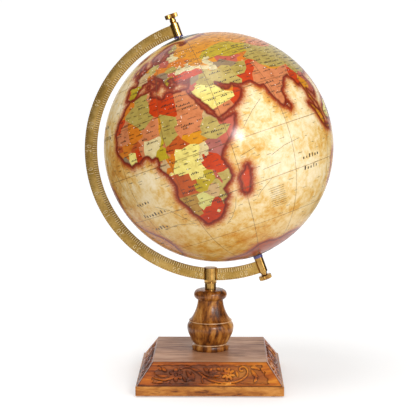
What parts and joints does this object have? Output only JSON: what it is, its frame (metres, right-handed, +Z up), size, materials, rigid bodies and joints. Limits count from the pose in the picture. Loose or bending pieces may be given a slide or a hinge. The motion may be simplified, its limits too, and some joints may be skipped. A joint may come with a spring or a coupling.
{
  "type": "desktop globe on stand",
  "caption": "Printed globe turning on a tilted axis in a graduated brass half-meridian, on a turned column and a carved square wooden base.",
  "frame": {"origin": "on the table under the axis of the turned column", "axes": "+Z up, +X to the right with the arc on the left of the ball, +Y to the rear"},
  "size_m": [0.3306, 0.3048, 0.494],
  "materials": {
    "sheesham": "oiled satin",
    "foot_rubber": "matt",
    "steel": "zinc plated",
    "polished_brass": "polished",
    "satin_brass": "aged satin",
    "spacer_plastic": "glossy",
    "cap_black": "glossy",
    "ball_plastic": "lacquered printed map",
    "bush_plastic": "matt"
  },
  "bodies": {
    "stand": {"base_plinth": "sheesham", "base_block": "sheesham", "foot_front_left": "foot_rubber", "foot_front_right": "foot_rubber", "foot_rear_left": "foot_rubber", "foot_rear_right": "foot_rubber", "plinth_screws": "steel", "turned_column": "sheesham", "tie_bolt": "steel", "tie_bolt_washer": "steel", "socket_post": "polished_brass", "arc_clamp_screw": "polished_brass"},
    "arc": {"meridian_arc": "satin_brass", "upper_barrel": "polished_brass", "lower_barrel": "polished_brass", "upper_spacer": "spacer_plastic", "lower_spacer": "spacer_plastic"},
    "upper_pin": {"upper_pivot_screw": "polished_brass"},
    "lower_pin": {"lower_pivot_screw": "polished_brass"},
    "globe": {"north_hemisphere": "ball_plastic", "south_hemisphere": "ball_plastic", "equator_ring": "bush_plastic", "north_bush": "bush_plastic", "south_bush": "bush_plastic", "north_pole_cap": "cap_black", "south_pole_cap": "cap_black"}
  },
  "joints": [
    {"name": "arc_tilt", "type": "hinge", "parent": "stand", "child": "arc", "pos_m": [0, 0, 0.14476], "axis": [0, 1, 0], "range_deg": [-5, 5]},
    {"name": "globe_spin", "type": "hinge", "parent": "arc", "child": "globe", "pos_m": [0.0107, 0, 0.316], "axis": [-0.3399, 0, 0.9405], "continuous": true},
    {"name": "upper_pin_slide", "type": "slide", "parent": "arc", "child": "upper_pin", "axis": [-0.3399, 0, 0.9405], "range_m": [0, 0.012]},
    {"name": "lower_pin_slide", "type": "slide", "parent": "arc", "child": "lower_pin", "axis": [0.3399, 0, -0.9405], "range_m": [0, 0.012]}
  ]
}
